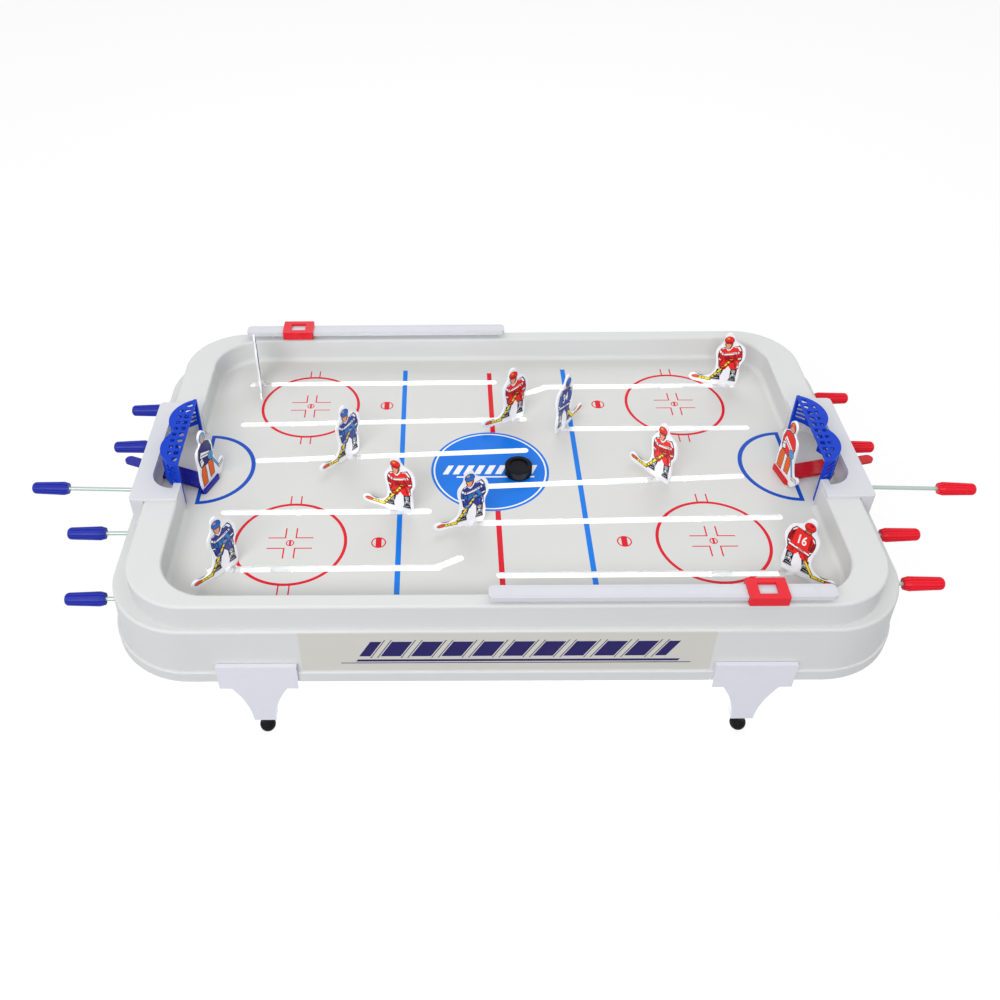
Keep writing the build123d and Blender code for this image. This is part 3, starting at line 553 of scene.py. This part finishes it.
def playerBack(main, deep, helmet):
    shapes = legShapes(9.6, 20.5, 0.7) + legShapes(-3.6, 23.0, -1.0)
    jersey = [
        (15.6, 43.6), (13.6, 48.6), (9.6, 51.4), (3.6, 52.6), (-4.4, 53.8), (-7.4, 49.4), (-9.2, 41.0),
        (-9.0, 35.0), (-7.6, 29.4), (-0.6, 28.4), (6.0, 26.6), (11.8, 25.0), (13.9, 30.0), (15.6, 38.0),
    ]
    shapes += playerStick(False) + [
        (shorts, "black"), (shortsInside, main),
        (jersey, "black"), (scaled(jersey, *edges["jersey"]), main),
        (bar(12.6, 28.6, -7.4, 32.4, 2.6), "black"), (bar(12.4, 28.7, -7.2, 32.4, 1.8), "white"),
        (bar(13.2, 44.0, 12.6, 31.0, 0.8), "black"), (bar(-5.0, 50.0, -6.8, 36.0, 0.8), "black"),
        ([(14.8, 44.0), (12.9, 40.0), (12.9, 31.4), (14.6, 36.0)], deep),
        ([(-6.0, 50.0), (-8.2, 42.0), (-8.2, 36.0), (-5.8, 40.0)], deep),
        (oval(6.6, 53.2, 3.2, 3.0), "black"), (oval(6.6, 53.0, 2.6, 2.4), "skinShade"),
        (oval(7.0, 58.6, 5.0, 5.2, 22), "black"), (oval(7.0, 58.8, 4.5, 4.7, 22), helmet),
        (oval(8.0, 60.6, 2.0, 1.2), deep),
        (bar(3.2, 56.4, 10.8, 56.4, 0.6), "black"),
    ]
    return shapes + strokes(backStrokes, deep)


def keeperBody(main):
    pad = [(-10.6, 4.6), (-10.9, 20.0), (-8.4, 27.4), (-2.2, 27.4), (-1.6, 18.0), (-2.4, 4.6)]
    other = [(2.0, 6.6), (1.6, 18.0), (2.0, 27.4), (7.6, 27.4), (10.4, 20.0), (9.6, 7.4)]
    body = [
        (-11.4, 40.0), (-8.6, 49.6), (-3.6, 52.6), (3.6, 52.6), (8.8, 49.6), (11.6, 40.0), (10.4, 31.6),
        (7.8, 25.4), (-8.0, 25.4), (-10.6, 31.6),
    ]
    shapes = [(body, "black"), (scaled(body, *edges["keeper"]), main)]
    for edge, middle in ((pad, -6.4), (other, 5.8)):
        inside = scaled(edge, middle, edges["padMiddle"], *edges["pad"])
        shapes += [(edge, "black"), (inside, "pad")]
        for k in range(5):
            shapes.append((bar(middle - 3.4, 8.6 + 3.7 * k, middle + 3.2, 8.8 + 3.7 * k, 0.5), "redShade"))
    return shapes


def keeperFront(main, deep, helmet):
    return keeperBody(main) + [
        ([(-6.0, 44.0), (-8.0, 38.6), (6.0, 33.0), (7.6, 37.0)], "white"),
        (bar(-6.6, 40.4, 6.8, 35.0, 1.0), "black"),
        ([(-9.6, 36.6), (-5.0, 38.0), (-3.2, 29.6), (-9.0, 27.6)], "black"),
        ([(-9.0, 36.0), (-5.4, 37.2), (-3.9, 30.2), (-8.5, 28.4)], "white"),
        (bar(-8.6, 33.6, -4.8, 34.8, 0.8), deep), (oval(7.6, 31.6, 4.3, 5.2), "black"),
        (oval(7.6, 31.6, 3.7, 4.6), "sky"),
        (bar(4.9, 33.4, 10.2, 34.2, 0.7), "black"), (bar(5.0, 30.0, 10.0, 30.8, 0.7), "black"),
        (bar(8.6, 28.0, 17.2, 10.4, 2.6), "black"), (bar(8.8, 27.4, 17.0, 10.8, 1.7), "sky"),
        (bar(16.2, 9.4, 25.2, 11.6, 3.6), "black"), (bar(16.8, 9.6, 24.8, 11.5, 2.5), "white"),
        (bar(17.8, 8.9, 18.4, 11.0, 0.6), "olive"), (bar(20.2, 9.4, 20.8, 11.6, 0.6), "olive"),
        (bar(22.6, 10.0, 23.2, 12.2, 0.6), "olive"),
        (oval(0.2, 58.0, 4.9, 5.9, 22), "black"), (oval(0.2, 58.0, 4.3, 5.3, 22), helmet),
        (oval(0.0, 55.8, 2.9, 3.3), "skin"),
        (bar(-2.9, 57.4, 2.9, 57.4, 0.5), "grey"), (bar(-3.0, 55.4, 3.0, 55.4, 0.5), "grey"),
        (bar(-2.6, 53.4, 2.6, 53.4, 0.5), "grey"),
        (bar(-1.4, 59.4, -1.4, 52.6, 0.45), "grey"), (bar(1.4, 59.4, 1.4, 52.6, 0.45), "grey"),
        (oval(-0.8, 61.4, 2.0, 0.9), "gold"),
    ]


def keeperBack(main, deep, helmet):
    return keeperBody(main) + [
        (oval(0.2, 58.0, 4.9, 5.9, 22), "black"), (oval(0.2, 58.0, 4.3, 5.3, 22), helmet),
        (oval(0.8, 60.4, 1.8, 1.2), deep),
        (bar(-9.0, 28.8, 9.0, 28.8, 1.8), "white"),
    ]


shirtNumber = {"red": "16", "blue": "34", "place": (-0.3, 41.0), "height": 14.0, "squash": 0.66, "bold": 0.25}
textSteps = 3


def numberShape(text):
    bpy.ops.object.text_add(location=(0, 0, 0))
    words = bpy.context.object
    words.data.body = text
    words.data.size = shirtNumber["height"] * mm
    words.data.align_x = "CENTER"
    words.data.align_y = "CENTER"
    words.data.extrude = sheet["thick"] * mm
    words.data.offset = shirtNumber["bold"] * mm
    words.data.resolution_u = textSteps
    words.data.materials.append(inks["white"])
    selectOnly(words)
    bpy.ops.object.convert(target="MESH")
    words = bpy.context.object
    u, v = shirtNumber["place"]
    squash = Matrix.Diagonal((shirtNumber["squash"], 1.0, 1.0, 1.0))
    words.data.transform(Matrix.Translation((u * mm, v * mm, 0)) @ squash)
    return words


# how a player's drawing follows its plate: the body leans back, and what is below the knee spreads and shifts
settling = {"knee": 8.0, "span": 22.0, "lean": 3.5, "spread": 0.093, "shift": 2.0, "lift": 2.2}


def settle(u, v):
    up = min(1.0, max(0.0, (v - settling["knee"]) / settling["span"]))
    low = (settling["spread"] * u - settling["shift"]) * (1.0 - up)
    return u - settling["lean"] * up + low, v + settling["lift"] * (1.0 - up)


def printPicture(name, shapes, number=None, player=False):
    made = []
    for layer, (points, colour) in enumerate(shapes):
        if player:
            points = [settle(u, v) for u, v in points]
        drawing = bpy.data.objects.new("shape", printShape(points))
        drawing.data.materials.append(inks[colour])
        bpy.context.scene.collection.objects.link(drawing)
        selectOnly(drawing)
        bpy.ops.object.convert(target="MESH")
        drawing = bpy.context.object
        height = sheet["above"] + sheet["layer"] * layer
        drawing.data.transform(Matrix.Translation((0, 0, height * mm)))
        made.append(drawing)
    if number:
        words = numberShape(number)
        height = sheet["numberAbove"] + sheet["layer"] * len(shapes)
        words.data.transform(Matrix.Translation((0, 0, height * mm)))
        made.append(words)
    selectOnly(made[0])
    for piece in made:
        piece.select_set(True)
    bpy.ops.object.join()
    picture = bpy.context.object
    picture.name = name
    return picture


def stickOn(picture, name, place, angle, side, body, lift=0.0):
    copy = bpy.data.objects.new(name, picture.data.copy())
    bpy.context.scene.collection.objects.link(copy)
    face = Matrix.Rotation(radians(90), 4, "X")  # drawn flat, then stood up: its layers grow towards -Y
    if side > 0:
        face = Matrix.Diagonal((1.0, -1.0, 1.0, 1.0)) @ face
    stand = Matrix.Translation((place[0], place[1], iceTop + lift)) @ Matrix.Rotation(radians(angle), 4, "Z")
    copy.data.transform(stand @ Matrix.Translation((0, side * plateThick / 2, 0)) @ face)
    if side > 0:
        copy.data.flip_normals()
    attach(copy, body)
    return copy


# the way each player's stick points, in degrees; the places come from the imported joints
turns = {
    "red_front_wing": -41, "red_back_wing": 168, "red_back_defender": 210, "red_front_defender": 160,
    "red_centre": 130, "blue_back_wing": -80, "blue_front_wing": 228, "blue_front_defender": 202,
    "blue_back_defender": 52, "blue_centre": 226,
}
plateThick = 2.0 * mm
joints = {j["name"]: j for j in frame["joints"]}
teams = {"red": ("red", "redShade", "red"), "blue": ("navy", "azure", "blue")}
for team, colours in teams.items():
    front = printPicture(team + "FrontPicture", playerFront(*colours), player=True)
    back = printPicture(team + "BackPicture", playerBack(*colours), shirtNumber[team], player=True)
    for who, angle in turns.items():
        if who.startswith(team + "_"):
            spot = joints[who + "_turn"]["pos_m"]
            stickOn(front, "print_front_" + who, spot, angle, 1, "figure_" + who)
            stickOn(back, "print_back_" + who, spot, angle, -1, "figure_" + who)
    bpy.data.objects.remove(front)
    bpy.data.objects.remove(back)
print("players printed")

# the way each goalkeeper's lever points, and the goalkeeper's colours; the plates stand across the levers' ends
keepers = {"left": (-22.0, ("blueShade", "blue", "sky")), "right": (193.0, ("red", "redShade", "red"))}
leverArm = 60.0 * mm
keeperLift = 2.3 * mm
for side, (angle, colours) in keepers.items():
    pivot = joints["goalkeeper_" + side + "_swing"]["pos_m"]
    out = Vector((cos(radians(angle)), sin(radians(angle)), 0)) * leverArm
    place = (pivot[0] + out.x, pivot[1] + out.y)
    front = printPicture("keeperFrontPicture", keeperFront(*colours))
    back = printPicture("keeperBackPicture", keeperBack(*colours))
    stickOn(front, "print_front_goalie_" + side, place, angle + 90, -1, "goalkeeper_" + side, keeperLift)
    stickOn(back, "print_back_goalie_" + side, place, angle + 90, 1, "goalkeeper_" + side, keeperLift)
    bpy.data.objects.remove(front)
    bpy.data.objects.remove(back)
print("goalkeepers printed")

# Raised cells and numerals on the score bars

scoreBar = {
    "cells": 10, "numeral": 8.0 * mm, "rise": 0.25 * mm, "sunk": 0.2, "frame": 0.7 * mm, "frameRise": 0.2 * mm,
    "frameGap": 0.02 * mm, "sideGap": 3.4 * mm, "endGap": 2 * mm, "padEnd": 15 * mm, "rowStart": 17 * mm,
    "numberStart": 18 * mm,
}


def scoreMarks(side):
    low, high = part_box("score_bar_" + side)
    made = []
    count = scoreBar["cells"]
    inner = high.x - low.x - 2 * scoreBar["numberStart"]
    middle = (low.y + high.y) / 2
    turn = 0.0 if side == "front" else pi
    for k in range(count):
        x = low.x + scoreBar["numberStart"] + inner * (k + 0.5) / count
        bpy.ops.object.text_add(location=(0, 0, 0))
        mark = bpy.context.object
        mark.data.body = str(k if side == "front" else count - 1 - k)
        mark.data.size = scoreBar["numeral"]
        mark.data.align_x = "CENTER"
        mark.data.align_y = "CENTER"
        mark.data.extrude = scoreBar["rise"] / 2
        mark.data.resolution_u = textSteps
        selectOnly(mark)
        bpy.ops.object.convert(target="MESH")
        mark = bpy.context.object
        spot = Matrix.Translation((x, middle, high.z - scoreBar["rise"] * scoreBar["sunk"]))
        mark.data.transform(spot @ Matrix.Rotation(turn, 4, "Z"))
        made.append(mark)
    spans = (
        (low.x + scoreBar["endGap"], low.x + scoreBar["padEnd"]),
        (low.x + scoreBar["rowStart"], high.x - scoreBar["rowStart"]),
        (high.x - scoreBar["padEnd"], high.x - scoreBar["endGap"]),
    )
    for start, end in spans:
        spot = ((start + end) / 2, middle, high.z + scoreBar["frameGap"])
        bpy.ops.mesh.primitive_plane_add(size=1.0, location=spot)
        cell = bpy.context.object
        cell.scale = (end - start, high.y - low.y - scoreBar["sideGap"], 1.0)
        selectOnly(cell)
        bpy.ops.object.transform_apply(location=True, rotation=True, scale=True)
        bpy.ops.object.mode_set(mode="EDIT")
        bpy.ops.mesh.select_all(action="SELECT")
        bpy.ops.mesh.inset(thickness=scoreBar["frame"], depth=0.0)
        bpy.ops.mesh.delete(type="FACE")
        bpy.ops.mesh.select_all(action="SELECT")
        bpy.ops.mesh.extrude_region_move(TRANSFORM_OT_translate={"value": (0, 0, scoreBar["frameRise"])})
        bpy.ops.object.mode_set(mode="OBJECT")
        made.append(cell)
    selectOnly(made[0])
    for piece in made:
        piece.select_set(True)
    bpy.ops.object.join()
    marks = bpy.context.object
    marks.name = "score_marks_" + side
    marks.data.materials.clear()
    marks.data.materials.append(finishes["trim"])
    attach(marks, "rink")


for side in ("front", "back"):
    scoreMarks(side)
print("score bars marked")

# Camera, lamps and floor

view = {
    "place": (-0.0531, -0.7559, 0.6734 + iceTop), "turn": (49.98, 0.67, 0.25),
    "sensor": 36.0, "lens": 36.87, "shift": (0.0686, -0.0613), "clip": (0.01, 50.0),
    "world": 0.68, "floor": (252, 252, 252), "bounce": (140, 142, 147), "floorGlow": 0.82, "floorRough": 0.9,
    "floorSize": 12.0, "floorMiddle": (0, 2.0, 0),
}
# name, place, what it points at, size and power
lamps = (
    ("keyLamp", (-0.5, -0.9, 1.7), (0, 0, 0.1), (1.4, 1.0), 1.5),
    ("frontLamp", (-0.75, -2.1, 1.75), (0, 0.15, 0.15), (1.8, 0.8), 41.0),
    ("fillLamp", (1.1, -0.5, 1.2), (0, 0, 0.1), (1.0, 1.0), 0.6),
    ("backLamp", (0.1, 1.2, 1.3), (0, 0, 0.15), (1.6, 0.8), 6.0),
    ("underLamp", (0, 0, 0.01), (0, 0, 0.1), (0.56, 0.34), 3.0),
)


def addCamera():
    lens = bpy.data.cameras.new("photoCamera")
    lens.sensor_width = view["sensor"]
    lens.lens = view["lens"]
    lens.shift_x, lens.shift_y = view["shift"]
    lens.clip_start, lens.clip_end = view["clip"]
    camera = bpy.data.objects.new("photoCamera", lens)
    camera.location = view["place"]
    camera.rotation_euler = [radians(a) for a in view["turn"]]
    bpy.context.scene.collection.objects.link(camera)
    bpy.context.scene.camera = camera


def addLamp(name, place, aim, size, power):
    lamp = bpy.data.lights.new(name, "AREA")
    lamp.shape = "RECTANGLE"
    lamp.size, lamp.size_y = size
    lamp.energy = power
    holder = bpy.data.objects.new(name, lamp)
    holder.location = place
    holder.rotation_euler = (Vector(aim) - Vector(place)).to_track_quat("-Z", "Y").to_euler()
    holder.visible_camera = False
    bpy.context.scene.collection.objects.link(holder)


def whiteFor(tree, under, share):  # camera, glossy and transmission rays see plain white, by a share
    path = tree.nodes.new("ShaderNodeLightPath")
    seen = either(tree, *[path.outputs["Is " + ray + " Ray"] for ray in ("Camera", "Glossy", "Transmission")])
    glow = tree.nodes.new("ShaderNodeEmission")
    glow.inputs["Strength"].default_value = 1.0
    mix = tree.nodes.new("ShaderNodeMixShader")
    tree.links.new(maths(tree, "MULTIPLY", seen, share), mix.inputs[0])
    tree.links.new(under, mix.inputs[1])
    tree.links.new(glow.outputs[0], mix.inputs[2])
    return mix.outputs[0]


def addStage():
    bpy.ops.mesh.primitive_plane_add(size=view["floorSize"], location=view["floorMiddle"])
    floor = bpy.context.object
    floor.name = "studio_floor"
    selectOnly(floor)
    bpy.ops.object.transform_apply(location=True)
    material, tree, shader = clearNodes("studioFloor")
    shader.inputs["Roughness"].default_value = view["floorRough"]
    # what bounces off the floor onto the game is dimmer than the floor looks
    bounce = tree.nodes.new("ShaderNodeLightPath").outputs["Is Diffuse Ray"]
    tone = paintOver(tree, linear(*view["floor"]), bounce, linear(*view["bounce"]))
    tree.links.new(tone, shader.inputs["Base Color"])
    output = tree.nodes["Material Output"]
    tree.links.new(whiteFor(tree, shader.outputs[0], view["floorGlow"]), output.inputs["Surface"])
    floor.data.materials.append(material)
    world = bpy.data.worlds.new("studioWorld")
    world.use_nodes = True
    tree = world.node_tree
    back = tree.nodes["Background"]
    back.inputs["Color"].default_value = (1.0, 1.0, 1.0, 1.0)
    back.inputs["Strength"].default_value = view["world"]
    tree.links.new(whiteFor(tree, back.outputs[0], 1.0), tree.nodes["World Output"].inputs["Surface"])
    bpy.context.scene.world = world


addCamera()
for row in lamps:
    addLamp(*row)
addStage()
bpy.context.scene.view_settings.view_transform = "Standard"
print("studio ready")
